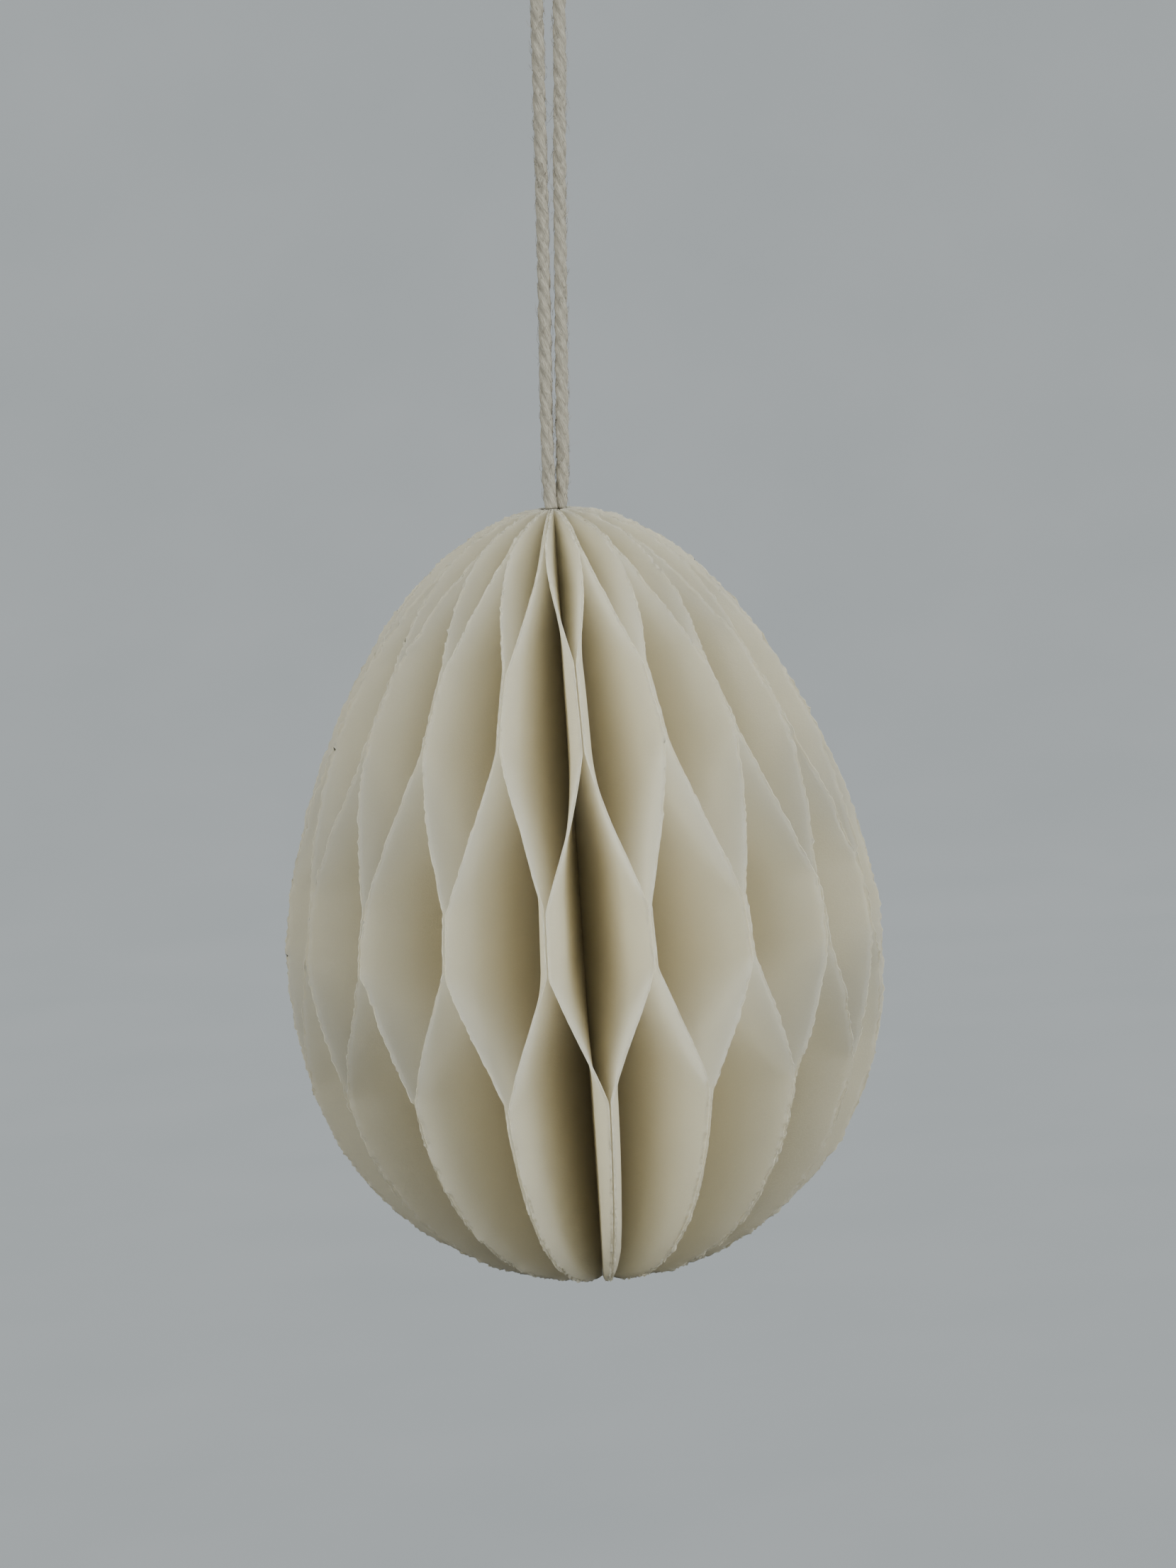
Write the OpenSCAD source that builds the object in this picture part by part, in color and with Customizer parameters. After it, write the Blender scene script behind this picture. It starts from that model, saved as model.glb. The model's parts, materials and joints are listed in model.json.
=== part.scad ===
// Egg-shaped paper honeycomb ornament on a cotton hanging loop.
// Half-egg sheets stand round a hollow spine like the pages of a book opened through a full turn.
// The first sheet and the end cover meet back to back and are held shut by two pairs of disc magnets.
// +Z is up along the spine. The origin is where a hook carries the loop.

/* [Egg] */
// Height of the paper body from pole to pole
egg_height = 120; // [90:1:180]
// Diameter at the widest place
egg_width = 92.6; // [70:0.2:140]
// Height of the widest place above the bottom pole, as a share of the height
widest_share = 0.44; // [0.36:0.01:0.5]
// How the narrow upper end closes: 2 is an ellipse and less is more pointed
upper_power = 1.5; // [1.4:0.05:2.4]
// How the blunt lower end closes: 2 is an ellipse and more is blunter
lower_power = 2.35; // [1.6:0.05:2.8]

/* [Paper] */
// Thickness of one sheet of cotton paper
sheet_thickness = 0.38; // [0.3:0.02:0.42]
// Free space between neighbouring sheets at the spine
sheet_play = 0.03; // [0.02:0.01:0.06]
// Direction of the seam where the ornament closes, measured from +X
seam_angle = 33.3; // [0:0.1:180]

/* [Magnets] */
// Diameter of a closing magnet
magnet_diameter = 5; // [3:0.5:8]
// Thickness of a closing magnet
magnet_thickness = 0.5; // [0.3:0.1:1]
// Distance of the upper pair below the top pole
upper_magnet_drop = 27; // [22:1:40]
// Distance of the lower pair below the top pole
lower_magnet_drop = 92; // [70:1:104]
// Distance of a magnet's middle in from the edge of its sheet
magnet_inset = 4.5; // [4:0.5:10]

/* [Cord] */
// Diameter of the twisted cotton cord
cord_diameter = 2.1; // [1:0.1:2.1]
// Distance from the hook down to the top pole
cord_drop = 105; // [100:1:110]
// Distance from the hook sideways to the spine
spine_offset = -5.2; // [-5.4:0.1:-5]
// Length of each tail glued inside the spine
tail_length = 40; // [20:1:60]

/* [Hidden] */
leaf_count = 36;
function leaf_name(i) = str("leaf_", i < 10 ? "0" : "", i);

paper_colour = [0.93, 0.90, 0.83];
cover_colour = [0.91, 0.87, 0.79];
cord_colour = [0.88, 0.83, 0.73];
steel_colour = [0.72, 0.73, 0.75];
round_facets = 32;

// The ring that the inner edges of all the sheets stand on
sheet_pitch = sheet_thickness + sheet_play;
closing_gap = sheet_thickness + 2 * magnet_thickness + sheet_play;
spine_radius = (leaf_count * sheet_pitch + closing_gap) / (2 * PI);
closing_turn = 2 * asin(closing_gap / (2 * spine_radius));
ring_step = (360 - closing_turn) / leaf_count;
leaf_step = 360 / leaf_count;

// Heights, all below the hook
top_z = -cord_drop;
bottom_z = top_z - egg_height;
widest_z = bottom_z + egg_height * widest_share;

// Half the width of the egg at a share of the way from the widest place to a pole
function half_width(share, power) = egg_width / 2 * sqrt(1 - pow(share, power));
// Half the width of the egg at a height
function half_width_at(z) = z > widest_z
    ? half_width((z - widest_z) / (top_z - widest_z), upper_power)
    : half_width((widest_z - z) / (widest_z - bottom_z), lower_power);
// The turn, out of 90 degrees, at which the outline reaches the spine's ring
function last_turn(power) = asin(pow(1 - pow(2 * spine_radius / egg_width, 2), 1 / power));
function outline_arc(pole_z, power, steps) = [
    for (k = [0 : steps])
        let (share = sin(last_turn(power) * k / steps))
        [half_width(share, power) - spine_radius, widest_z + (pole_z - widest_z) * share]];

// One half-egg sheet, standing on its straight inner edge at x = 0
arc_steps = 26;
upper_arc = outline_arc(top_z, upper_power, arc_steps);
lower_arc = outline_arc(bottom_z, lower_power, arc_steps);
sheet_outline = concat([for (k = [arc_steps : -1 : 1]) lower_arc[k]], upper_arc);

// Puts what is drawn along +X at the place of sheet number i, counted from the seam
module at_sheet(i) {
    ring_angle = seam_angle + closing_turn / 2 + ring_step * (i - 1);
    translate([spine_offset + spine_radius * cos(ring_angle), spine_radius * sin(ring_angle), 0])
        rotate([0, 0, seam_angle + leaf_step * (i - 1)])
            children();
}

module half_egg_sheet() {
    rotate([90, 0, 0])
        linear_extrude(height = sheet_thickness, center = true)
            polygon(sheet_outline);
}

module leaf(i) {
    color(paper_colour) at_sheet(i) half_egg_sheet();
}

module end_cover() {
    color(cover_colour) at_sheet(leaf_count + 1) half_egg_sheet();
}

// A disc glued to one face of a sheet: side is -1 or 1
module magnet(i, drop, side) {
    color(steel_colour)
        at_sheet(i)
            translate([half_width_at(top_z - drop) - magnet_inset - spine_radius,
                       side * (sheet_thickness + magnet_thickness) / 2,
                       top_z - drop])
                rotate([90, 0, 0])
                    cylinder(h = magnet_thickness, d = magnet_diameter, center = true, $fn = round_facets);
}

module leaf_magnet_upper() magnet(1, upper_magnet_drop, -1);
module leaf_magnet_lower() magnet(1, lower_magnet_drop, -1);
module cover_magnet_upper() magnet(leaf_count + 1, upper_magnet_drop, 1);
module cover_magnet_lower() magnet(leaf_count + 1, lower_magnet_drop, 1);

// Route of the cord's middle for the usual drop: up one strand, over the hook and down the other
route_drop = 105;
route_points = [
    [-5.9, -0.9, -105], [-6, -0.5, -101.5], [-5.9, -0.2, -97], [-5.7, 0, -91], [-5.35, 0, -84], [-5, 0, -77],
    [-4.7, 0, -70], [-4.35, 0, -62], [-4, 0, -54], [-3.7, 0, -46], [-3.35, 0, -38], [-3.05, 0, -30],
    [-2.9, 0, -23], [-3.2, 0, -17], [-3.9, 0, -11.5], [-4.5, 0, -6.5], [-4.2, 0, -2.2], [-2.5, 0, 0.4],
    [0, 0, 1.05],
    [2.5, 0, 0.4], [4.2, 0, -2.2], [4.3, 0, -6.5], [3.2, 0, -11.5], [1.8, 0, -17], [0.9, 0, -23],
    [0.35, 0, -30], [-0.1, 0, -38], [-0.65, 0, -46], [-1.2, 0, -54], [-1.65, 0, -62], [-2.1, 0, -70],
    [-2.5, 0, -77], [-2.9, 0, -84], [-3.3, 0, -91], [-3.6, 0.2, -97], [-4, 0.5, -101.5], [-4.5, 0.9, -105]];
cord_route = [for (p = route_points) [p[0], p[1], p[2] * cord_drop / route_drop]];
cord_sides = 8;
rings_per_step = 2;

// A smooth curve through the route's points
function route_point(k) = cord_route[max(0, min(len(cord_route) - 1, k))];
function smooth_point(k, t) =
    let (a = route_point(k - 1), b = route_point(k), c = route_point(k + 1), d = route_point(k + 2))
    0.5 * (2 * b + (c - a) * t + (2 * a - 5 * b + 4 * c - d) * t * t + (3 * b - a - 3 * c + d) * t * t * t);
cord_line = concat(
    [for (k = [0 : len(cord_route) - 2]) for (s = [0 : rings_per_step - 1]) smooth_point(k, s / rings_per_step)],
    [cord_route[len(cord_route) - 1]]);

// The direction of the curve at each ring, straight up or down at its two ends
function direction(k) =
    let (last = len(cord_line) - 1)
    k == 0 ? [0, 0, 1] :
    k == last ? [0, 0, -1] :
    let (d = cord_line[k + 1] - cord_line[k - 1]) d / norm(d);
function cord_ring(k) =
    let (d = direction(k), side = cross([0, 1, 0], d), u = side / norm(side), v = cross(d, u))
    [for (s = [0 : cord_sides - 1])
        let (turn = 360 * (s + 0.5) / cord_sides)
        cord_line[k] + cord_diameter / 2 * (cos(turn) * u + sin(turn) * v)];

module swept_cord() {
    rings = len(cord_line);
    points = [for (k = [0 : rings - 1]) each cord_ring(k)];
    walls = [for (k = [0 : rings - 2]) for (s = [0 : cord_sides - 1])
        let (a = k * cord_sides + s, b = k * cord_sides + (s + 1) % cord_sides)
        [a, b, b + cord_sides, a + cord_sides]];
    start_cap = [for (s = [cord_sides - 1 : -1 : 0]) s];
    end_cap = [for (s = [0 : cord_sides - 1]) (rings - 1) * cord_sides + s];
    polyhedron(points = points, faces = concat([start_cap], walls, [end_cap]));
}

module hanging_cord() {
    color(cord_colour) swept_cord();
}

module cord_tails() {
    color(cord_colour)
        for (end = [cord_route[0], cord_route[len(cord_route) - 1]])
            translate([end[0], end[1], top_z - tail_length])
                cylinder(h = tail_length, d = cord_diameter, $fn = round_facets);
}

for (i = [1 : leaf_count])
    leaf(i);
end_cover();
leaf_magnet_upper();
leaf_magnet_lower();
cover_magnet_upper();
cover_magnet_lower();
hanging_cord();
cord_tails();
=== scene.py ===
import json
import math

import bpy
import numpy as np
from mathutils import Matrix, Vector


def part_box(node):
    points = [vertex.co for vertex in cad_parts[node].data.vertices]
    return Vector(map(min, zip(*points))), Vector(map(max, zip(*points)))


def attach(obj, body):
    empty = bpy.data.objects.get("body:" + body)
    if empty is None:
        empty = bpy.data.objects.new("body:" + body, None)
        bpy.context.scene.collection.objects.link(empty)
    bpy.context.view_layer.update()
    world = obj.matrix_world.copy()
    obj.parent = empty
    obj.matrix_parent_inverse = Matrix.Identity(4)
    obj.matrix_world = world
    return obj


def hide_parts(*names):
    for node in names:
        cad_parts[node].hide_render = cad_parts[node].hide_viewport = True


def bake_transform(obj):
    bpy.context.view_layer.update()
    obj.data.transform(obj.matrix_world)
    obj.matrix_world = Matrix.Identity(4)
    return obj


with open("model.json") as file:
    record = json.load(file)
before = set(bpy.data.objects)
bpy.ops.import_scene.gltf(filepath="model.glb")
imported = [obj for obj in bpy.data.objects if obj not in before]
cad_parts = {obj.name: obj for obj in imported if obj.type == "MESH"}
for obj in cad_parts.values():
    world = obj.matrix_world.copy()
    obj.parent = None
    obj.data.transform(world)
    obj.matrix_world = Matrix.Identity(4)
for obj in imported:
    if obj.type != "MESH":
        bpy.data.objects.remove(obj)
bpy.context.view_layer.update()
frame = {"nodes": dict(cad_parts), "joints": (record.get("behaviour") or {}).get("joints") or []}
bpy.ops.object.select_all(action="DESELECT")


# CAMERA
# The ornament is looked at from a little above. It hangs a few degrees out of plumb, so the camera
# leans by as much, and it points somewhat above the egg's middle, to take in more of the cord.
ball_turn = next(joint for joint in frame["joints"] if joint["name"] == "ball_turn")
spine_x, spine_y, pole_z = ball_turn["pos_m"]
egg_height = 0.120
egg_middle = Vector((spine_x, spine_y, pole_z - egg_height / 2))
camera_distance = 0.800
camera_elevation = math.radians(8.8)
ornament_lean = math.radians(3.83)
aim_above_middle = 0.0170
aim_right_of_middle = 0.0010
lens_millimetres = 118.5
sensor_millimetres = 36

level_right = Vector((1, 0, 0))
level_up = Vector((0, math.sin(camera_elevation), math.cos(camera_elevation)))
level_forward = Vector((0, math.cos(camera_elevation), -math.sin(camera_elevation)))
leaning_right = level_right * math.cos(ornament_lean) - level_up * math.sin(ornament_lean)
leaning_up = level_right * math.sin(ornament_lean) + level_up * math.cos(ornament_lean)

eye = egg_middle - camera_distance * level_forward
aim = egg_middle + aim_above_middle * leaning_up + aim_right_of_middle * leaning_right
forward = (aim - eye).normalized()
right = (leaning_right - leaning_right.dot(forward) * forward).normalized()
up = right.cross(forward)

bpy.ops.object.camera_add()
camera = bpy.context.object
camera.name = "camera"
camera.data.lens = lens_millimetres
camera.data.sensor_width = sensor_millimetres
camera.data.sensor_fit = "AUTO"
camera.matrix_world = Matrix((right, up, -forward)).transposed().to_4x4()
camera.location = eye
bpy.context.scene.camera = camera


# HANGING CORD
# Soft cotton cord of three plies twisted together, with fine loose fibres standing off it. It runs up
# from the top pole, over the hook and down again, and both ends go into the hollow spine.
MM = 0.001
cord_points = [
    (-5.9, -0.9, -105), (-6, -0.5, -101.5), (-5.9, -0.2, -97), (-5.7, 0, -91), (-5.35, 0, -84), (-5, 0, -77),
    (-4.7, 0, -70), (-4.35, 0, -62), (-4, 0, -54), (-3.7, 0, -46), (-3.35, 0, -38), (-3.05, 0, -30),
    (-2.9, 0, -23), (-3.2, 0, -17), (-3.9, 0, -11.5), (-4.5, 0, -6.5), (-4.2, 0, -2.2), (-2.5, 0, 0.4),
    (0, 0, 1.05),
    (2.5, 0, 0.4), (4.2, 0, -2.2), (4.3, 0, -6.5), (3.2, 0, -11.5), (1.8, 0, -17), (0.9, 0, -23),
    (0.35, 0, -30), (-0.1, 0, -38), (-0.65, 0, -46), (-1.2, 0, -54), (-1.65, 0, -62), (-2.1, 0, -70),
    (-2.5, 0, -77), (-2.9, 0, -84), (-3.3, 0, -91), (-3.6, 0.2, -97), (-4, 0.5, -101.5), (-4.5, 0.9, -105)]
cord_diameter = 0.0021
ply_count = 3
ply_turn_length = 0.0095
ply_radius = 0.26 * cord_diameter
ply_offset = cord_diameter / 2 - ply_radius
ply_softness = 0.5
worn_round_share = 0.95
swell_spacing = 0.002
swell_spread = 0.02
lint_height = 0.000012
cord_sides = 36
cord_ring_spacing = 0.00035
curve_steps_per_point = 40


def smooth_line(points, spacing):
    """A smooth curve through the points, cut into even steps of about that spacing."""
    points = np.array(points, float)
    padded = np.vstack([points[:1], points, points[-1:]])
    fine = []
    for k in range(len(points) - 1):
        a, b, c, d = padded[k:k + 4]
        for t in np.linspace(0, 1, curve_steps_per_point, endpoint=False):
            fine.append(0.5 * (2 * b + (c - a) * t + (2 * a - 5 * b + 4 * c - d) * t ** 2
                               + (3 * b - a - 3 * c + d) * t ** 3))
    fine = np.array(fine + [points[-1]])
    walked = np.concatenate([[0], np.cumsum(np.linalg.norm(np.diff(fine, axis=0), axis=1))])
    stations = np.linspace(0, walked[-1], int(round(walked[-1] / spacing)) + 1)
    return np.stack([np.interp(stations, walked, fine[:, axis]) for axis in range(3)], 1), stations


def directions(line):
    """The direction that a line runs in at each of its points."""
    along = np.gradient(line, axis=0)
    return along / np.linalg.norm(along, axis=1)[:, None]


def ply_section(turn):
    """Radius of the cord in a direction: round plies side by side, half worn away to a plain round cord."""
    from_ply = (turn + math.pi / ply_count) % (2 * math.pi / ply_count) - math.pi / ply_count
    across = ply_offset * np.sin(from_ply)
    plies = ply_offset * np.cos(from_ply) + np.sqrt(np.maximum(ply_radius ** 2 - across ** 2, 0))
    return (1 - ply_softness) * plies + ply_softness * worn_round_share * cord_diameter / 2


def twisted_cord(name, line, stations, seed):
    """A closed mesh of twisted plies along a line, with its length and turn in a UV map."""
    random = np.random.default_rng(seed)
    along = directions(line)
    side = np.cross([0.0, 1.0, 0.0], along)
    side /= np.linalg.norm(side, axis=1)[:, None]
    other = np.cross(along, side)
    turn = np.linspace(0, 2 * math.pi, cord_sides, endpoint=False)
    twist = -2 * math.pi * stations / ply_turn_length
    radius = ply_section(turn[None, :] - twist[:, None])
    swell_places = np.arange(0, stations[-1] + 2 * swell_spacing, swell_spacing)
    swell = np.interp(stations, swell_places, random.normal(0, swell_spread, len(swell_places)))
    radius = radius * (1 + swell[:, None]) + random.normal(0, lint_height, radius.shape)
    points = (line[:, None, :] + (radius * np.cos(turn))[:, :, None] * side[:, None, :]
              + (radius * np.sin(turn))[:, :, None] * other[:, None, :])
    rings = len(line)
    faces = []
    for k in range(rings - 1):
        for s in range(cord_sides):
            a, b = k * cord_sides + s, k * cord_sides + (s + 1) % cord_sides
            faces.append((a, b, b + cord_sides, a + cord_sides))
    faces.append(tuple(range(cord_sides - 1, -1, -1)))
    faces.append(tuple((rings - 1) * cord_sides + s for s in range(cord_sides)))
    mesh = bpy.data.meshes.new(name)
    mesh.from_pydata(points.reshape(-1, 3).tolist(), [], faces)
    uv = mesh.uv_layers.new(name="cord")
    for k in range(rings - 1):
        for s in range(cord_sides):
            base = (k * cord_sides + s) * 4
            for corner, (step_up, step_round) in enumerate(((0, 0), (0, 1), (1, 1), (1, 0))):
                share = (s + step_round) / cord_sides - twist[k + step_up] / (2 * math.pi)
                uv.data[base + corner].uv = (share, stations[k + step_up])
    mesh.shade_smooth()
    cord = bpy.data.objects.new(name, mesh)
    bpy.context.scene.collection.objects.link(cord)
    return cord


fibre_count = 900
fibre_steps = 5
fibre_sides = 3
fibre_length = 1.9 * MM
shortest_fibre, longest_fibre = 0.4, 1.4
fibre_rise = 0.55 * MM
least_rise = 0.2
fibre_diameter = 0.09 * MM
fibre_taper = 0.6
fibre_root = 0.92 * cord_diameter / 2
root_lift = 0.4
peak_lift_at = 0.75
fibre_slant = 0.5
fibre_curl = 0.25
fibre_tuck = 0.3
rings_without_fibres = 4


def loose_fibres(name, line, stations, count, seed):
    """Fine cotton fibres standing off a cord, each a thin closed sliver that bends away from the plies."""
    random = np.random.default_rng(seed)
    along = directions(line)
    points, faces, places = [], [], []
    for fibre in range(count):
        k = int(random.integers(rings_without_fibres, len(line) - rings_without_fibres))
        turn = random.uniform(0, 2 * math.pi)
        side = np.cross([0.0, 1.0, 0.0], along[k])
        side /= np.linalg.norm(side)
        out = side * math.cos(turn) + np.cross(along[k], side) * math.sin(turn)
        round_cord = np.cross(along[k], out)
        heading = along[k] * random.choice([-1, 1]) + round_cord * random.normal(0, fibre_slant)
        heading /= np.linalg.norm(heading)
        length = fibre_length * random.uniform(shortest_fibre, longest_fibre)
        rise = fibre_rise * random.uniform(least_rise, 1.0) ** 2
        curl = random.normal(0, fibre_curl)
        base = len(points)
        for step in range(fibre_steps + 1):
            t = step / fibre_steps
            arch = math.sin(math.pi * min(t, peak_lift_at)) * (root_lift + (1 - root_lift) * t)
            lift = fibre_root + rise * arch
            middle = (line[k] + out * lift + heading * length * (t - fibre_tuck)
                      + round_cord * length * curl * t * t)
            thickness = fibre_diameter / 2 * (1 - fibre_taper * t)
            for corner in range(fibre_sides):
                corner_turn = 2 * math.pi * corner / fibre_sides
                points.append(middle + out * thickness * math.cos(corner_turn)
                              + round_cord * thickness * math.sin(corner_turn))
                places.append((turn / (2 * math.pi), stations[k] + length * t))
        for step in range(fibre_steps):
            for corner in range(fibre_sides):
                a = base + fibre_sides * step + corner
                b = base + fibre_sides * step + (corner + 1) % fibre_sides
                faces.append((a, b, b + fibre_sides, a + fibre_sides))
        faces.append(tuple(base + corner for corner in reversed(range(fibre_sides))))
        faces.append(tuple(base + fibre_sides * fibre_steps + corner for corner in range(fibre_sides)))
    mesh = bpy.data.meshes.new(name)
    mesh.from_pydata([tuple(point) for point in points], [], faces)
    uv = mesh.uv_layers.new(name="cord")
    for loop in mesh.loops:
        uv.data[loop.index].uv = places[loop.vertex_index]
    mesh.shade_smooth()
    fibres = bpy.data.objects.new(name, mesh)
    bpy.context.scene.collection.objects.link(fibres)
    bpy.ops.object.select_all(action="DESELECT")
    fibres.select_set(True)
    bpy.context.view_layer.objects.active = fibres
    bpy.ops.object.mode_set(mode="EDIT")
    bpy.ops.mesh.select_all(action="SELECT")
    bpy.ops.mesh.normals_make_consistent(inside=False)
    bpy.ops.object.mode_set(mode="OBJECT")
    return fibres


def noise(tree, place, scale, detail, distortion=0.0):
    """A noise texture at a place, read as a value from 0 to 1."""
    texture = tree.nodes.new("ShaderNodeTexNoise")
    texture.inputs["Detail"].default_value = detail
    texture.inputs["Distortion"].default_value = distortion
    if isinstance(scale, (int, float)):
        texture.inputs["Scale"].default_value = scale
    else:
        tree.links.new(scale, texture.inputs["Scale"])
    tree.links.new(place, texture.inputs["Vector"])
    return texture.outputs["Fac"]


def remap(tree, value, low, high, to_low, to_high):
    """A value carried smoothly from one range into another."""
    node = tree.nodes.new("ShaderNodeMapRange")
    node.interpolation_type = "SMOOTHSTEP"
    for socket, setting in (("Value", value), ("From Min", low), ("From Max", high), ("To Min", to_low),
                            ("To Max", to_high)):
        if isinstance(setting, (int, float)):
            node.inputs[socket].default_value = setting
        else:
            tree.links.new(setting, node.inputs[socket])
    return node.outputs["Result"]


def combine(tree, operation, first, second):
    """Two values put together by a math node."""
    node = tree.nodes.new("ShaderNodeMath")
    node.operation = operation
    for socket, setting in enumerate((first, second)):
        if isinstance(setting, (int, float)):
            node.inputs[socket].default_value = setting
        else:
            tree.links.new(setting, node.inputs[socket])
    return node.outputs[0]


def blend_colours(tree, share, first, second, how="MIX"):
    """Two colours mixed by a share that is a number or a value from another node."""
    node = tree.nodes.new("ShaderNodeMix")
    node.data_type = "RGBA"
    node.blend_type = how
    for socket, setting in (("Factor", share), ("A", first), ("B", second)):
        target = next(i for i in node.inputs if i.name == socket and i.enabled)
        if isinstance(setting, (int, float)):
            target.default_value = setting
        elif isinstance(setting, tuple):
            target.default_value = (*setting, 1)
        else:
            tree.links.new(setting, target)
    return next(o for o in node.outputs if o.enabled)


cord_round = math.pi * cord_diameter
strand_slant = math.radians(14)
strands_round, strands_along = 9000, 900
blotches_per_metre = 700
strand_shade, strand_light = (0.30, 0.262, 0.200), (0.58, 0.525, 0.415)
blotch_colour = (0.36, 0.315, 0.240)
# Painted shade colour for the grooves between the plies.
painted_groove_shade = (0.27, 0.24, 0.19)
cotton = bpy.data.materials.new("twisted_cotton")
cotton.use_nodes = True
tree = cotton.node_tree
shader = tree.nodes["Principled BSDF"]
cord_map = tree.nodes.new("ShaderNodeUVMap")
cord_map.uv_map = "cord"
lengthwise = tree.nodes.new("ShaderNodeMapping")
lengthwise.inputs["Scale"].default_value = (cord_round, 1, 1)
lengthwise.inputs["Rotation"].default_value = (0, 0, strand_slant)
tree.links.new(cord_map.outputs["UV"], lengthwise.inputs["Vector"])
stretched = tree.nodes.new("ShaderNodeMapping")
stretched.inputs["Scale"].default_value = (strands_round, strands_along, 1)
tree.links.new(lengthwise.outputs["Vector"], stretched.inputs["Vector"])
strands = noise(tree, stretched.outputs["Vector"], 1.0, 3, 0.4)
blotches = noise(tree, lengthwise.outputs["Vector"], blotches_per_metre, 3)
split = tree.nodes.new("ShaderNodeSeparateXYZ")
tree.links.new(cord_map.outputs["UV"], split.inputs[0])
ply_wave = combine(tree, "COSINE", combine(tree, "MULTIPLY", split.outputs["X"], 2 * math.pi * ply_count), 0)
groove = remap(tree, ply_wave, -1.0, -0.25, 1.0, 0.0)
cotton_colour = blend_colours(tree, remap(tree, strands, 0.3, 0.7, 0.0, 1.0), strand_shade, strand_light)
blotched = remap(tree, blotches, 0.35, 0.75, 0.0, 0.55)
cotton_colour = blend_colours(tree, blotched, cotton_colour, blotch_colour)
# Painted shade: the colour darkens into the grooves between the plies.
cotton_colour = blend_colours(tree, combine(tree, "MULTIPLY", groove, 0.35), cotton_colour, painted_groove_shade)
tree.links.new(cotton_colour, shader.inputs["Base Color"])
tree.links.new(remap(tree, strands, 0.2, 0.8, 0.98, 0.80), shader.inputs["Roughness"])
shader.inputs["Specular IOR Level"].default_value = 0.2
shader.inputs["Sheen Weight"].default_value = 0.15
shader.inputs["Sheen Roughness"].default_value = 0.5
bump = tree.nodes.new("ShaderNodeBump")
bump.inputs["Strength"].default_value = 0.8
bump.inputs["Distance"].default_value = 0.06 * MM
sunk_groove = combine(tree, "MULTIPLY", groove, 0.4)
tree.links.new(combine(tree, "SUBTRACT", strands, sunk_groove), bump.inputs["Height"])
tree.links.new(bump.outputs["Normal"], shader.inputs["Normal"])

cord_line, cord_stations = smooth_line(np.array(cord_points) * MM, cord_ring_spacing)
cord = twisted_cord("cotton_cord", cord_line, cord_stations, seed=4)
fibres = loose_fibres("cord_fibres", cord_line, cord_stations, fibre_count, seed=5)
for piece in (cord, fibres):
    piece.data.materials.append(cotton)
    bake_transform(piece)
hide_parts("hanging_cord")


# CORD TAILS
# The last 40 mm of each strand, cut square and glued down inside the hollow spine. Both are fixed to
# the first sheet, so they turn with the egg.
tail_length = 40 * MM
tails = []
for number, end in enumerate((cord_line[0], cord_line[-1])):
    tail_ends = [end, end - np.array([0, 0, tail_length])]
    tail_line, tail_stations = smooth_line(tail_ends, cord_ring_spacing)
    tails.append(twisted_cord(f"tail_{number}", tail_line, tail_stations, seed=20 + number))
bpy.ops.object.select_all(action="DESELECT")
for tail in tails:
    tail.select_set(True)
bpy.context.view_layer.objects.active = tails[0]
bpy.ops.object.join()
cord_tails = bpy.context.object
cord_tails.name = "cotton_tails"
cord_tails.data.materials.append(cotton)
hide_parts("cord_tails")
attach(cord_tails, "leaf_01")


# PAPER LEAVES
# Thirty-six half eggs of soft cotton paper stand round the spine. Each one is glued along its edge
# to one neighbour at some heights and to the other neighbour at the heights between, so it bows.
leaf_count = 36
leaf_names = [f"leaf_{number:02d}" for number in range(1, leaf_count + 1)] + ["end_cover"]
leaf_step = math.radians(360 / leaf_count)
seam_direction = math.radians(33.3)
sheet_thickness = 0.38 * MM
half_width = 0.0463
widest_drop = 0.0672
upper_power = 1.5
lower_power = 2.35
spine_radius = 2.5735 * MM
inner_edge_band = 1e-5

leaf_rows = 384
leaf_columns = 24
column_crowding = 1.9
rim_depth = 0.18 * MM
rim_thinness = 0.55
rim_unevenness = 0.35
uv_step = 0.25
crease_depth = 0.0080
crease_narrowing = 0.30
least_crease_depth = 0.0025
crease_softness = 0.16
inner_swing = 0.5
glue_heights = np.array([4.3, 21.2, 32.8, 55.6, 65.0, 84.7]) * MM
glue_sides = [1, -1, -1, 1, 1, -1]
corner_softness = 0.12
glue_scatter = 0.35 * MM
deckle_height = 0.21 * MM
deckle_length = 0.0032
deckle_grit = 0.45
deckle_depth = 0.7 * MM
deckle_free_reach = 4 * MM
ripple_turn = 0.03
ripple_length = 0.022
ripple_fine_share = 0.3
merge_distance = 2e-6
first_sheet_seed = 100


def half_egg_outline(rows):
    """Reach from the spine and drop below the top pole along a sheet's curved edge, from the bottom up."""
    reaches, drops = [], []
    ends = ((-1, lower_power, egg_height - widest_drop), (1, upper_power, widest_drop))
    for direction, power, run in ends:
        last = math.asin((1 - (spine_radius / half_width) ** 2) ** (1 / power))
        turns = last * np.linspace(0, 1, rows // 2 + 1)
        shares = np.sin(turns)
        reach = half_width * np.sqrt(np.maximum(1 - shares ** power, 0)) - spine_radius
        drop = widest_drop - direction * run * shares
        if direction < 0:
            reaches.extend(reach[:0:-1])
            drops.extend(drop[:0:-1])
        else:
            reaches.extend(reach)
            drops.extend(drop)
    return np.maximum(np.array(reaches), 0), np.array(drops)


def uneven(random, places, coarse, fine_share=0.5):
    """A gentle random wander along the places, mostly at the coarse length and partly at a third of it."""
    total = np.zeros(len(places))
    for length, weight in ((coarse, 1 - fine_share), (coarse / 3, fine_share)):
        knots = np.arange(places.min() - length, places.max() + 2 * length, length)
        total += weight * np.interp(places, knots, random.normal(0, 1, len(knots)))
    return total


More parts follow.
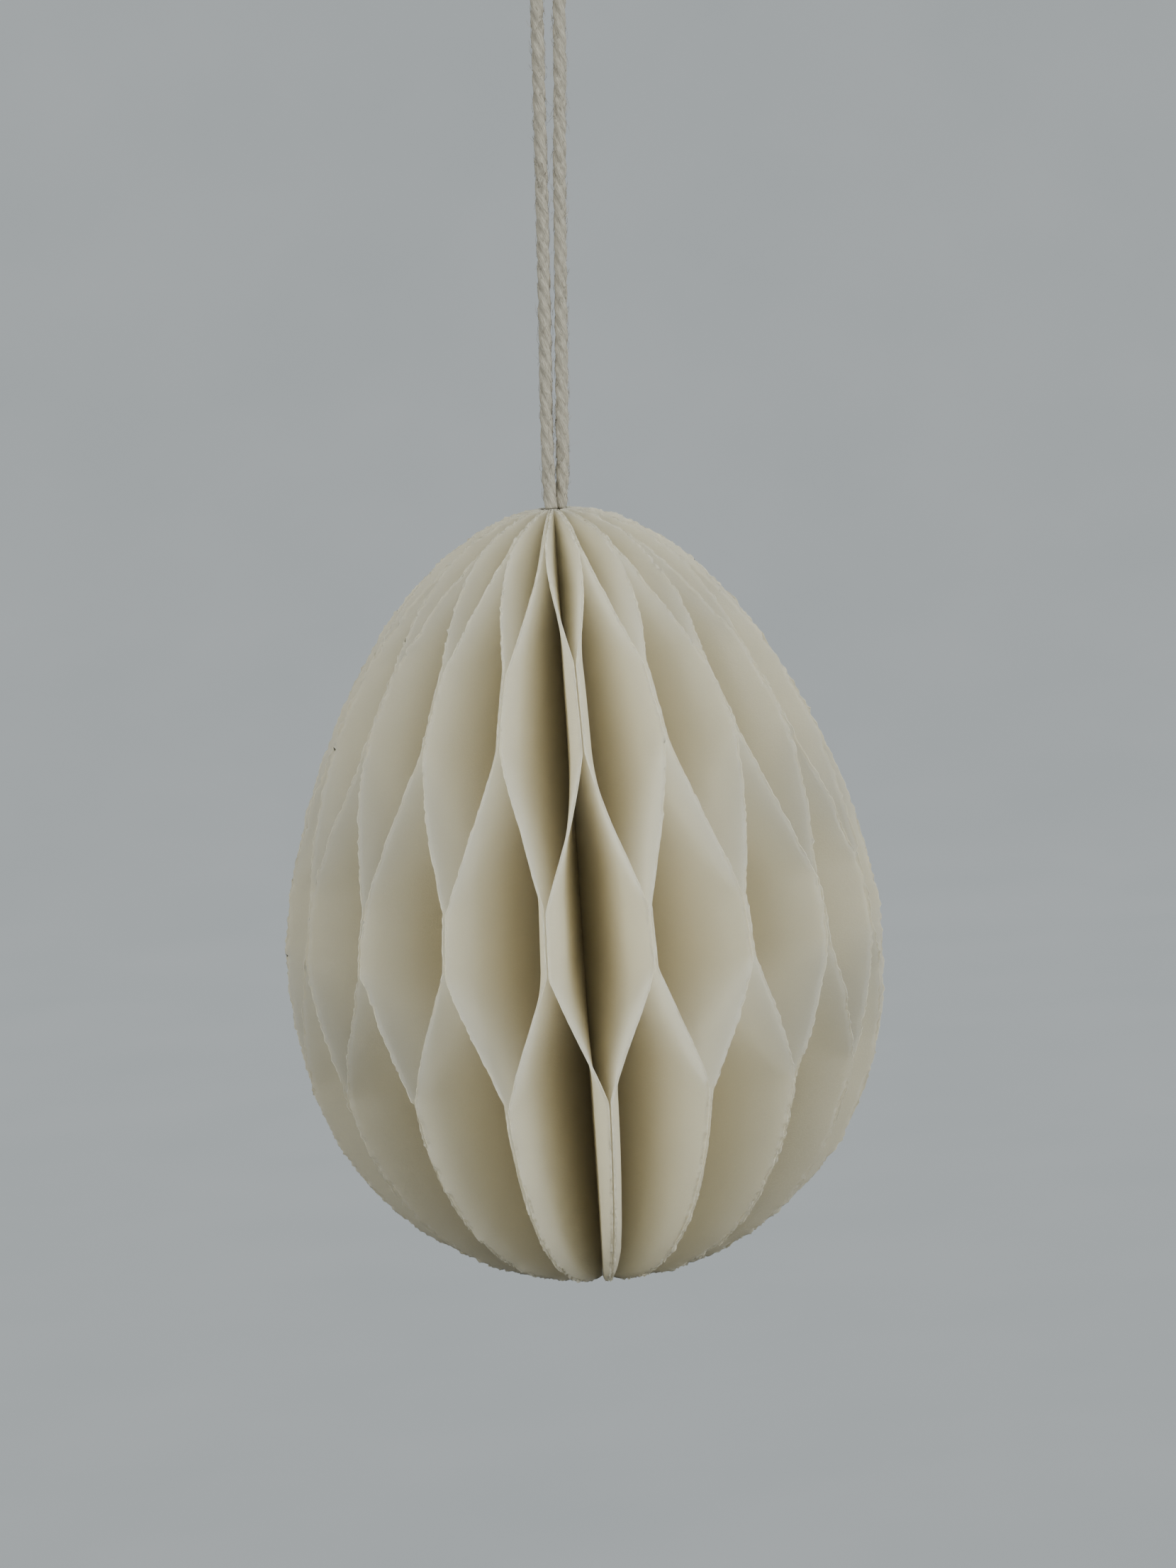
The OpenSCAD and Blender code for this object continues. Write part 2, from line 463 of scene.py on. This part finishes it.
def sheet_place(number):
    """The inner edge of a sheet and the direction that it points in."""
    direction = seam_direction + leaf_step * number
    along = np.array([math.cos(direction), math.sin(direction), 0])
    places = np.array([v.co for v in frame["nodes"][leaf_names[number]].data.vertices])
    inner = places[places @ along < (places @ along).min() + inner_edge_band].mean(0)
    return inner, along


def paper_sheet(name, number, bowed):
    """One deckle-edged sheet at its place. turned_share is how far each point leans to the next sheet."""
    random = np.random.default_rng(first_sheet_seed + number)
    reach, drop = half_egg_outline(leaf_rows)
    rows = len(reach)
    columns = 1 - (1 - np.linspace(0, 1, leaf_columns)) ** column_crowding
    x = np.concatenate([reach[:, None] * columns[None, :-1], np.maximum(reach[:, None] - rim_depth, 0),
                        reach[:, None]], 1)
    d = np.repeat(drop[:, None], leaf_columns + 1, 1)
    inside = reach[:, None] - x

    edge_dx, edge_dd = np.gradient(reach), np.gradient(drop)
    edge_length = np.hypot(edge_dx, edge_dd)
    walked = np.concatenate([[0], np.cumsum(np.hypot(np.diff(reach), np.diff(drop)))])
    wander = uneven(random, walked, deckle_length)
    deckle = deckle_height * (wander + deckle_grit * random.normal(0, 1, rows))
    deckle *= np.clip(reach / deckle_free_reach, 0, 1)
    near_edge = np.exp(-inside / deckle_depth)
    x = x + near_edge * (deckle * -edge_dd / edge_length)[:, None]
    d = d + near_edge * (deckle * edge_dx / edge_length)[:, None]

    share = np.zeros_like(x)
    if bowed:
        heights = glue_heights + random.normal(0, glue_scatter, len(glue_heights))
        side = np.interp(d, heights, glue_sides)
        edge_side = (1 + corner_softness / 2) * side - corner_softness / 2 * side ** 3
        inner_side = np.sin(side * math.pi / 2)
        if number % 2 == 1:
            edge_side, inner_side = -edge_side, -inner_side
        crease = np.maximum(crease_depth - crease_narrowing * (reach.max() - reach), least_crease_depth)
        into = 1 - inside / crease[:, None]
        flap = (into + np.sqrt(into ** 2 + crease_softness ** 2)) / (1 + math.sqrt(1 + crease_softness ** 2))
        swing = inner_swing * inner_side
        lean = np.clip(swing + (edge_side - swing) * flap, -1, 1)
        waves = uneven(random, drop, ripple_length, ripple_fine_share)
        ripple = ripple_turn * waves[:, None] * (x / half_width)
        share = np.clip(0.5 + 0.5 * lean + ripple * (1 - lean ** 2), 0, 1)

    inner, along = sheet_place(number)
    points = inner[None, None, :] * np.array([1, 1, 0]) + x[:, :, None] * along
    points[:, :, 2] = pole_z - d
    if bowed:
        hinge = np.array(fold_joints[number]["pos_m"])
        turn = leaf_step * share
        dx, dy = points[:, :, 0] - hinge[0], points[:, :, 1] - hinge[1]
        points[:, :, 0] = hinge[0] + dx * np.cos(turn) - dy * np.sin(turn)
        points[:, :, 1] = hinge[1] + dx * np.sin(turn) + dy * np.cos(turn)

    bpy.ops.mesh.primitive_grid_add(x_subdivisions=leaf_columns, y_subdivisions=rows - 1, size=1)
    sheet = bpy.context.object
    sheet.name = name
    mesh = sheet.data
    mesh.vertices.foreach_set("co", points.reshape(-1))
    uv = mesh.uv_layers[0]
    uv.name = "sheet"
    corner_vertices = np.zeros(len(mesh.loops), np.int32)
    mesh.loops.foreach_get("vertex_index", corner_vertices)
    flat = np.stack([inside, d + uv_step * number], -1).reshape(-1, 2)
    uv.data.foreach_set("uv", flat[corner_vertices].reshape(-1))
    turned = mesh.attributes.new("turned_share", "FLOAT", "POINT")
    turned.data.foreach_set("value", share.reshape(-1).astype(np.float32))
    mesh.update()

    thick = sheet.vertex_groups.new(name="full_thickness")
    thick.add(range(len(mesh.vertices)), 1.0, "REPLACE")
    for row, weight in enumerate(random.uniform(0, rim_unevenness, rows)):
        thick.add([row * (leaf_columns + 1) + leaf_columns], float(weight), "REPLACE")
    solidify = sheet.modifiers.new("thickness", "SOLIDIFY")
    solidify.thickness = sheet_thickness
    solidify.offset = 0
    solidify.vertex_group = "full_thickness"
    solidify.thickness_vertex_group = 1 - rim_thinness - rim_unevenness / 2
    bpy.ops.object.modifier_apply(modifier=solidify.name)
    bpy.ops.object.mode_set(mode="EDIT")
    bpy.ops.mesh.select_all(action="SELECT")
    bpy.ops.mesh.remove_doubles(threshold=merge_distance)
    bpy.ops.mesh.normals_make_consistent(inside=False)
    bpy.ops.object.mode_set(mode="OBJECT")
    bpy.ops.object.shade_smooth_by_angle(angle=math.radians(80))
    return sheet


fold_joints = [joint for joint in frame["joints"] if joint["name"].startswith("fold")]
leaves = []
for number in range(leaf_count):
    leaf = paper_sheet(f"paper_{leaf_names[number]}", number, bowed=True)
    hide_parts(leaf_names[number])
    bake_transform(leaf)
    count = len(leaf.data.vertices)
    turned = np.zeros(count, np.float32)
    leaf.data.attributes["turned_share"].data.foreach_get("value", turned)
    leaves.append(leaf)

cover = paper_sheet("paper_end_cover", leaf_count, bowed=False)
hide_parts("end_cover")
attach(cover, "end_cover")


def new_group(name, inputs, outputs):
    """A shader node group with the named sockets, and the two nodes inside it that carry them."""
    group = bpy.data.node_groups.new(name, "ShaderNodeTree")
    for socket, kind in inputs.items():
        group.interface.new_socket(socket, in_out="INPUT", socket_type=kind)
    for socket, kind in outputs.items():
        group.interface.new_socket(socket, in_out="OUTPUT", socket_type=kind)
    return group, group.nodes.new("NodeGroupInput"), group.nodes.new("NodeGroupOutput")


clouds_per_metre = 170
fibres_per_metre = 620
grains_per_metre = 3600
fibre_line_width = 0.035
# How far in from the cut edge the colour turns paler, and how unevenly that line runs.
pale_edge_depth = 0.9 * MM
pale_edge_wander = 1.2 * MM
# Painted shade reaches from 5 mm to 24 mm in from the outer edge of a sheet.
painted_shade_start, painted_shade_end = 5 * MM, 24 * MM
grain_and_painted_shade, given, result = new_group(
    "grain_and_painted_shade",
    {"Paper Colour": "NodeSocketColor", "Painted Shade Colour": "NodeSocketColor", "Edge Colour": "NodeSocketColor",
     "Cloudiness": "NodeSocketFloat", "Fibre Strength": "NodeSocketFloat"},
    {"Colour": "NodeSocketColor", "Roughness": "NodeSocketFloat", "Height": "NodeSocketFloat"})
sheet_map = grain_and_painted_shade.nodes.new("ShaderNodeUVMap")
sheet_map.uv_map = "sheet"
on_sheet = sheet_map.outputs["UV"]
split = grain_and_painted_shade.nodes.new("ShaderNodeSeparateXYZ")
grain_and_painted_shade.links.new(on_sheet, split.inputs[0])
clouds = noise(grain_and_painted_shade, on_sheet, clouds_per_metre, 4)
grains = noise(grain_and_painted_shade, on_sheet, grains_per_metre, 3)
curls = noise(grain_and_painted_shade, on_sheet, fibres_per_metre, 2, 2.2)
from_middle = combine(grain_and_painted_shade, "ABSOLUTE", combine(grain_and_painted_shade, "SUBTRACT", curls, 0.5), 0)
fibre_lines = remap(grain_and_painted_shade, from_middle, 0.0, fibre_line_width, 1.0, 0.0)
# The paper colour turns paler within about 0.9 mm of the cut edge, along a grainy line.
wander = combine(grain_and_painted_shade, "MULTIPLY", combine(grain_and_painted_shade, "SUBTRACT", grains, 0.5), pale_edge_wander)
inside_edge = combine(grain_and_painted_shade, "ADD", split.outputs["X"], wander)
pale_edge_share = remap(grain_and_painted_shade, inside_edge, 0.0, pale_edge_depth, 1.0, 0.0)
# Painted warm shade: from 5 mm to 24 mm in from the outer edge the colour moves to a darker, warmer shade
# colour.
painted_shade_share = remap(grain_and_painted_shade, split.outputs["X"], painted_shade_start, painted_shade_end, 0.0, 1.0)
painted_shade_and_edge_tone = blend_colours(grain_and_painted_shade, painted_shade_share, given.outputs["Paper Colour"], given.outputs["Painted Shade Colour"])
painted_shade_and_edge_tone = blend_colours(grain_and_painted_shade, pale_edge_share, painted_shade_and_edge_tone, given.outputs["Edge Colour"])
cloud_shade = combine(grain_and_painted_shade, "MULTIPLY", combine(grain_and_painted_shade, "SUBTRACT", clouds, 0.5),
                      given.outputs["Cloudiness"])
grain_shade = combine(grain_and_painted_shade, "MULTIPLY", combine(grain_and_painted_shade, "SUBTRACT", grains, 0.5),
                      given.outputs["Fibre Strength"])
line_strength = combine(grain_and_painted_shade, "MULTIPLY", given.outputs["Fibre Strength"], 0.25)
fibre_shade = combine(grain_and_painted_shade, "MULTIPLY", fibre_lines, line_strength)
shade = combine(grain_and_painted_shade, "ADD", combine(grain_and_painted_shade, "ADD", cloud_shade, grain_shade), fibre_shade)
tinted = grain_and_painted_shade.nodes.new("ShaderNodeHueSaturation")
grain_and_painted_shade.links.new(combine(grain_and_painted_shade, "ADD", shade, 1.0), tinted.inputs["Value"])
grain_and_painted_shade.links.new(painted_shade_and_edge_tone, tinted.inputs["Color"])
grain_and_painted_shade.links.new(tinted.outputs["Color"], result.inputs["Colour"])
grain_and_painted_shade.links.new(remap(grain_and_painted_shade, grains, 0.3, 0.7, 0.82, 0.97), result.inputs["Roughness"])
relief = combine(grain_and_painted_shade, "ADD", combine(grain_and_painted_shade, "MULTIPLY", fibre_lines, 0.35),
                 combine(grain_and_painted_shade, "ADD", grains, combine(grain_and_painted_shade, "MULTIPLY", clouds, 0.8)))
grain_and_painted_shade.links.new(relief, result.inputs["Height"])


paper_cloudiness = 0.16
paper_fibre_strength = 0.30


def fibrous_paper(name, paper_colour, painted_shade_colour, edge_colour, through_colour, light_through):
    """Thick soft cotton paper that scatters light and lets part of it through to its other side, with a
    painted warm shade deep in from its edge.
    """
    material = bpy.data.materials.new(name)
    material.use_nodes = True
    tree = material.node_tree
    shader = tree.nodes["Principled BSDF"]
    grain = tree.nodes.new("ShaderNodeGroup")
    grain.node_tree = grain_and_painted_shade
    grain.inputs["Paper Colour"].default_value = (*paper_colour, 1)
    grain.inputs["Painted Shade Colour"].default_value = (*painted_shade_colour, 1)
    grain.inputs["Edge Colour"].default_value = (*edge_colour, 1)
    grain.inputs["Cloudiness"].default_value = paper_cloudiness
    grain.inputs["Fibre Strength"].default_value = paper_fibre_strength
    tree.links.new(grain.outputs["Colour"], shader.inputs["Base Color"])
    tree.links.new(grain.outputs["Roughness"], shader.inputs["Roughness"])
    shader.inputs["Specular IOR Level"].default_value = 0.25
    bump = tree.nodes.new("ShaderNodeBump")
    bump.inputs["Strength"].default_value = 0.5
    bump.inputs["Distance"].default_value = 0.08 * MM
    tree.links.new(grain.outputs["Height"], bump.inputs["Height"])
    tree.links.new(bump.outputs["Normal"], shader.inputs["Normal"])
    through = tree.nodes.new("ShaderNodeBsdfTranslucent")
    through.inputs["Color"].default_value = (*through_colour, 1)
    tree.links.new(bump.outputs["Normal"], through.inputs["Normal"])
    mix = tree.nodes.new("ShaderNodeMixShader")
    mix.inputs["Fac"].default_value = light_through
    tree.links.new(shader.outputs["BSDF"], mix.inputs[1])
    tree.links.new(through.outputs["BSDF"], mix.inputs[2])
    tree.links.new(mix.outputs["Shader"], tree.nodes["Material Output"].inputs["Surface"])
    return material


# The second colour of each paper is painted warm shade for the parts deep in from the edge.
leaf_paper = fibrous_paper("cotton_paper", paper_colour=(0.985, 0.97, 0.90), painted_shade_colour=(0.985, 0.92, 0.78),
                           edge_colour=(0.985, 0.975, 0.93), through_colour=(0.99, 0.958, 0.865),
                           light_through=0.80)
cover_paper = fibrous_paper("cover_paper", paper_colour=(0.93, 0.90, 0.81), painted_shade_colour=(0.92, 0.87, 0.74),
                            edge_colour=(0.95, 0.93, 0.87), through_colour=(0.95, 0.91, 0.80),
                            light_through=0.45)
for leaf in leaves:
    leaf.data.materials.clear()
    leaf.data.materials.append(leaf_paper)
cover.data.materials.clear()
cover.data.materials.append(cover_paper)


# CLOSING MAGNETS
# Four thin nickel-plated discs with rolled rims, glued in facing pairs to the first sheet and to the
# end cover. A pair meets face to face, which keeps the ornament open as a whole egg.
magnet_radius = 2.5 * MM
magnet_thickness = 0.5 * MM
rim_roll = 0.12 * MM
dish_inset = 0.55 * MM
dish_depth = 0.03 * MM
rim_sides = 64


def closing_magnet(node, sheet_number, body):
    """One plated disc with a rolled rim and a faintly dished face, in the place of its plain disc."""
    low, high = (Vector(corner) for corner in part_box(node))
    direction = seam_direction + leaf_step * sheet_number
    bpy.ops.object.select_all(action="DESELECT")
    bpy.ops.mesh.primitive_cylinder_add(vertices=rim_sides, radius=magnet_radius, depth=magnet_thickness,
                                        location=(low + high) / 2,
                                        rotation=(math.radians(90), 0, direction))
    magnet = bpy.context.object
    magnet.name = f"steel_{node}"
    bpy.ops.object.mode_set(mode="EDIT")
    bpy.ops.mesh.select_mode(type="FACE")
    bpy.ops.object.mode_set(mode="OBJECT")
    for face in magnet.data.polygons:
        face.select = abs(face.normal.z) > 0.9
    bpy.ops.object.mode_set(mode="EDIT")
    bpy.ops.mesh.inset(thickness=dish_inset)
    bpy.ops.transform.resize(value=(1, 1, 1 - 2 * dish_depth / magnet_thickness), orient_type="LOCAL",
                             center_override=magnet.location)
    bpy.ops.object.mode_set(mode="OBJECT")
    rolled = magnet.modifiers.new("rolled_rim", "BEVEL")
    rolled.width = rim_roll
    rolled.segments = 4
    rolled.limit_method = "ANGLE"
    rolled.angle_limit = math.radians(60)
    bpy.ops.object.modifier_apply(modifier=rolled.name)
    bpy.ops.object.transform_apply(location=True, rotation=True, scale=True)
    bpy.ops.object.shade_smooth_by_angle(angle=math.radians(35))
    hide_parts(node)
    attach(magnet, body)
    return magnet


nickel = bpy.data.materials.new("nickel_plate")
nickel.use_nodes = True
tree = nickel.node_tree
shader = tree.nodes["Principled BSDF"]
shader.inputs["Metallic"].default_value = 1.0
place = tree.nodes.new("ShaderNodeTexCoord").outputs["Object"]
smears = noise(tree, place, 700, 4, 0.6)
pits = noise(tree, place, 9000, 2)
plating = blend_colours(tree, smears, (0.58, 0.57, 0.55), (0.74, 0.73, 0.71))
tree.links.new(plating, shader.inputs["Base Color"])
tree.links.new(remap(tree, smears, 0.3, 0.7, 0.22, 0.42), shader.inputs["Roughness"])
bump = tree.nodes.new("ShaderNodeBump")
bump.inputs["Strength"].default_value = 0.25
bump.inputs["Distance"].default_value = 0.01 * MM
tree.links.new(pits, bump.inputs["Height"])
tree.links.new(bump.outputs["Normal"], shader.inputs["Normal"])
for node, sheet_number, body in (("leaf_magnet_upper", 0, "leaf_01"), ("leaf_magnet_lower", 0, "leaf_01"),
                                 ("cover_magnet_upper", leaf_count, "end_cover"),
                                 ("cover_magnet_lower", leaf_count, "end_cover")):
    closing_magnet(node, sheet_number, body).data.materials.append(nickel)


# STUDIO
# A pale floor that curves up into a wall all round. It glows evenly by itself and is left out of the
# lamps' light, so it looks the same from every side. Six large soft lamps light the ornament alone.
floor_drop = 0.30
floor_radius = 2.2
floor_sides = 128
wall_curve = 0.8
wall_height = 2.0
curve_steps = 10
floor_glow = 0.44
bpy.ops.mesh.primitive_circle_add(vertices=floor_sides, radius=floor_radius, fill_type="NGON",
                                  location=(spine_x, spine_y, pole_z - egg_height - floor_drop))
floor = bpy.context.object
floor.name = "floor"
bpy.ops.object.mode_set(mode="EDIT")
bpy.ops.mesh.select_all(action="SELECT")
bpy.ops.mesh.region_to_loop()
radius, rise = floor_radius, 0.0
for step in range(1, curve_steps + 2):
    turn = math.radians(90) * min(step, curve_steps) / curve_steps
    next_radius = floor_radius + wall_curve * math.sin(turn)
    next_rise = wall_curve * (1 - math.cos(turn)) + (wall_height if step > curve_steps else 0)
    bpy.ops.mesh.extrude_region_move(TRANSFORM_OT_translate={"value": (0, 0, next_rise - rise)})
    grow = next_radius / radius
    bpy.ops.transform.resize(value=(grow, grow, 1))
    radius, rise = next_radius, next_rise
bpy.ops.mesh.select_all(action="SELECT")
bpy.ops.mesh.normals_make_consistent(inside=True)
bpy.ops.object.mode_set(mode="OBJECT")
bpy.ops.object.shade_smooth_by_angle(angle=math.radians(30))
floor_paint = bpy.data.materials.new("floor_paint")
floor_paint.use_nodes = True
tree = floor_paint.node_tree
shader = tree.nodes["Principled BSDF"]
shader.inputs["Roughness"].default_value = 0.95
place = tree.nodes.new("ShaderNodeTexCoord").outputs["Object"]
cloudy = blend_colours(tree, noise(tree, place, 9, 4), (0.80, 0.88, 0.90), (0.92, 0.98, 1.0))
tree.links.new(cloudy, shader.inputs["Base Color"])
tree.links.new(cloudy, shader.inputs["Emission Color"])
shader.inputs["Emission Strength"].default_value = floor_glow
floor_paint.cycles.emission_sampling = "NONE"
floor.data.materials.append(floor_paint)
floor.visible_diffuse = False
floor.visible_transmission = False
floor.visible_shadow = False
evenly_lit = bpy.data.collections.new("evenly_lit")
evenly_lit.objects.link(floor)
evenly_lit.collection_objects[0].light_linking.link_state = "EXCLUDE"

world = bpy.data.worlds.new("studio")
bpy.context.scene.world = world
world.use_nodes = True
world.node_tree.nodes["Background"].inputs["Color"].default_value = (0.80, 0.86, 0.92, 1)
world.node_tree.nodes["Background"].inputs["Strength"].default_value = 0.05


lamp_distance = 1.7
lamp_width = 1.2
lamp_colour = (0.93, 1.0, 1.03)


def soft_lamp(name, azimuth, elevation, watts):
    """A square soft box facing the egg. Its azimuth counts from the camera's side towards the right."""
    turn, climb = math.radians(azimuth), math.radians(elevation)
    away = Vector((math.sin(turn) * math.cos(climb), -math.cos(turn) * math.cos(climb), math.sin(climb)))
    bpy.ops.object.light_add(type="AREA", location=egg_middle + lamp_distance * away)
    lamp = bpy.context.object
    lamp.name = name
    lamp.data.shape = "SQUARE"
    lamp.data.size = lamp_width
    lamp.data.energy = watts
    lamp.data.color = lamp_colour
    lamp.rotation_euler = away.to_track_quat("Z", "Y").to_euler()
    lamp.visible_camera = False
    lamp.light_linking.receiver_collection = evenly_lit


soft_lamp("right_light", azimuth=60, elevation=3, watts=23.0)
soft_lamp("right_front_light", azimuth=30, elevation=40, watts=13.4)
soft_lamp("left_light", azimuth=-60, elevation=5, watts=10.5)
soft_lamp("left_front_light", azimuth=-30, elevation=30, watts=11.0)
soft_lamp("right_back_light", azimuth=140, elevation=35, watts=6)
soft_lamp("left_back_light", azimuth=-140, elevation=35, watts=6)
